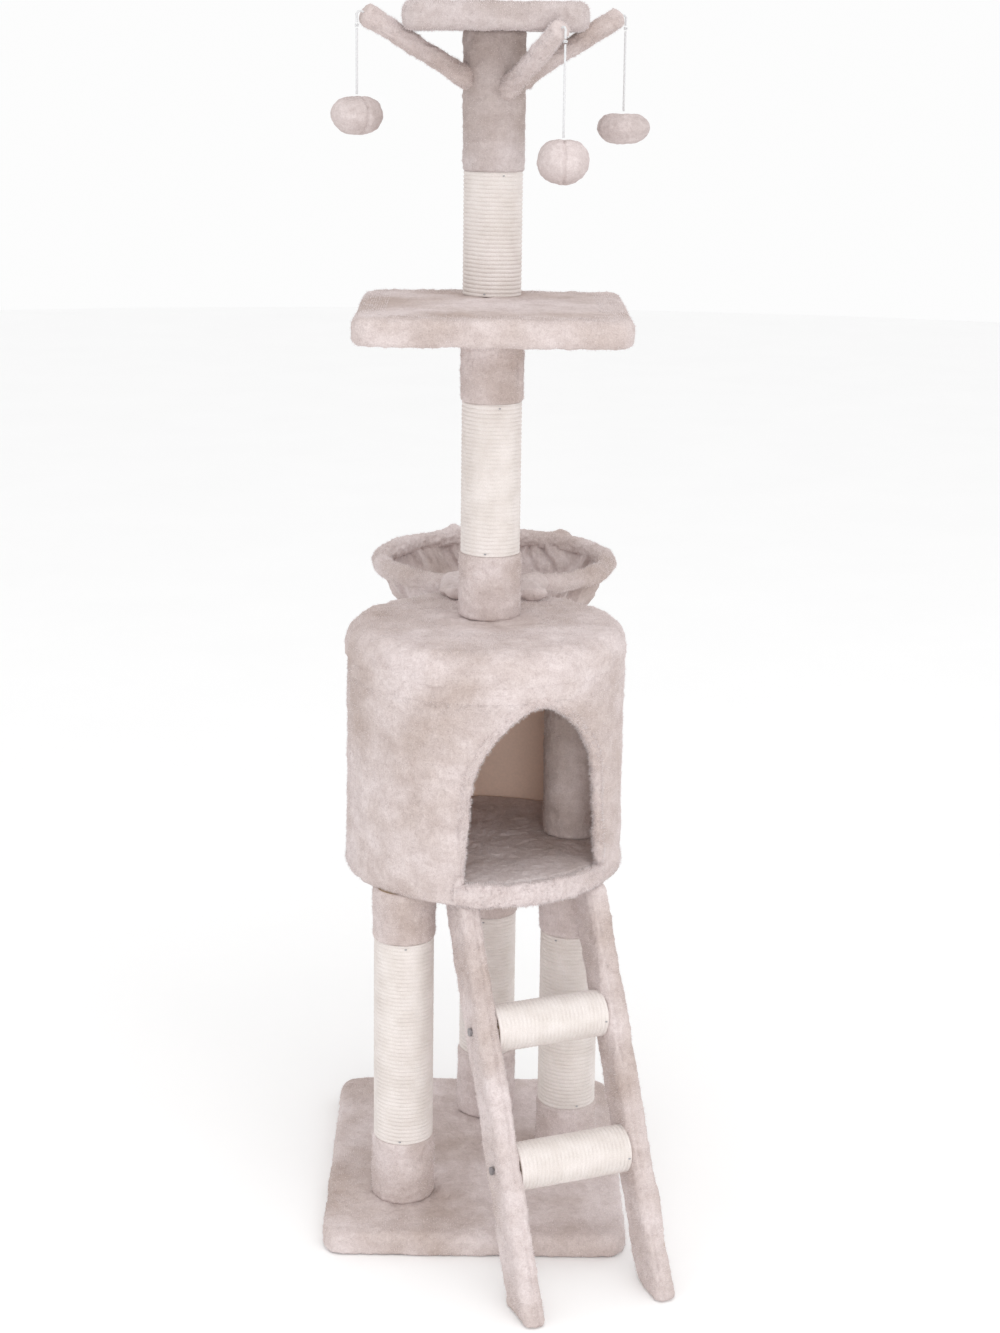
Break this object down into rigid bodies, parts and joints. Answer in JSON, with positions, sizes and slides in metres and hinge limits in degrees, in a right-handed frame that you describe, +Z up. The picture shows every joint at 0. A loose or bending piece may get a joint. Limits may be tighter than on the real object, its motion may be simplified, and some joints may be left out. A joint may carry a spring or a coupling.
{
  "type": "cat tree",
  "caption": "Tall plush and sisal cat tree: round house on posts with an arched door, ladder, hanging basket, square platform, small top perch and swinging toys.",
  "frame": {"origin": "centre of the underside of the base board", "axes": "+Z up along the posts, -Y the front, where the base's short side and the ladder's feet are, +X to the right seen from the front"},
  "size_m": [0.3922, 0.8158, 1.369],
  "materials": {
    "plush": "short pile plush, matt",
    "toy_plush": "short pile plush, matt",
    "sisal_rope": "wound sisal rope, matt",
    "cardboard_tube": "raw cardboard",
    "board": "raw particle board",
    "steel": "zinc plated",
    "lining": "smooth brushed lining",
    "string": "twisted white string"
  },
  "bodies": {
    "tree": {"base_board": "board", "base_cover": "plush", "post_bolts": "steel", "post_end_plugs": "board", "left_post_tube": "cardboard_tube", "left_post_sisal": "sisal_rope", "left_post_lower_sleeve": "plush", "left_post_upper_sleeve": "plush", "rear_post_tube": "cardboard_tube", "rear_post_sisal": "sisal_rope", "rear_post_lower_sleeve": "plush", "rear_post_upper_sleeve": "plush", "right_post_tube": "cardboard_tube", "right_post_sisal": "sisal_rope", "right_post_lower_sleeve": "plush", "right_post_upper_sleeve": "plush", "house_floor_board": "board", "house_floor_cover": "plush", "house_wall": "board", "house_wall_cover": "plush", "house_wall_lining": "lining", "house_roof_board": "board", "house_roof_cover": "plush", "house_inner_post": "plush", "basket_hoop": "steel", "basket_rim_wrap": "plush", "basket_legs": "plush", "basket_bowl": "plush", "middle_post_tube": "cardboard_tube", "middle_post_sisal": "sisal_rope", "middle_post_lower_sleeve": "plush", "middle_post_upper_sleeve": "plush", "platform_board": "board", "platform_cover": "plush", "top_post_tube": "cardboard_tube", "top_post_sisal": "sisal_rope", "top_post_sleeve": "plush", "perch_board": "board", "perch_cover": "plush", "arm_dowels": "board", "left_arm_cover": "plush", "right_arm_cover": "plush", "front_arm_cover": "plush", "toy_loops": "string", "rail_boards": "board", "left_rail_cover": "plush", "right_rail_cover": "plush", "rung_tubes": "cardboard_tube", "lower_rung_sisal": "sisal_rope", "upper_rung_sisal": "sisal_rope", "frame_screws": "steel"},
    "left_toy_top": {"left_toy_knot": "string"},
    "left_toy": {"left_toy_string": "string", "left_toy_ball": "toy_plush"},
    "right_toy_top": {"right_toy_knot": "string"},
    "right_toy": {"right_toy_string": "string", "right_toy_ball": "toy_plush"},
    "front_toy_top": {"front_toy_knot": "string"},
    "front_toy": {"front_toy_string": "string", "front_toy_ball": "toy_plush"}
  },
  "joints": [
    {"name": "left_toy_swing_side", "type": "hinge", "parent": "tree", "child": "left_toy_top", "pos_m": [-0.14277, 0.04082, 1.34212], "axis": [0, 1, 0], "range_deg": [-30, 30]},
    {"name": "left_toy_swing_front", "type": "hinge", "parent": "left_toy_top", "child": "left_toy", "pos_m": [-0.14277, 0.04082, 1.34212], "axis": [1, 0, 0], "range_deg": [-30, 30]},
    {"name": "right_toy_swing_side", "type": "hinge", "parent": "tree", "child": "right_toy_top", "pos_m": [0.16017, 0.19518, 1.34212], "axis": [0, 1, 0], "range_deg": [-30, 30]},
    {"name": "right_toy_swing_front", "type": "hinge", "parent": "right_toy_top", "child": "right_toy", "pos_m": [0.16017, 0.19518, 1.34212], "axis": [1, 0, 0], "range_deg": [-30, 30]},
    {"name": "front_toy_swing_side", "type": "hinge", "parent": "tree", "child": "front_toy_top", "pos_m": [0.0827, -0.02723, 1.32724], "axis": [0, 1, 0], "range_deg": [-30, 30]},
    {"name": "front_toy_swing_front", "type": "hinge", "parent": "front_toy_top", "child": "front_toy", "pos_m": [0.0827, -0.02723, 1.32724], "axis": [1, 0, 0], "range_deg": [-30, 30]}
  ]
}
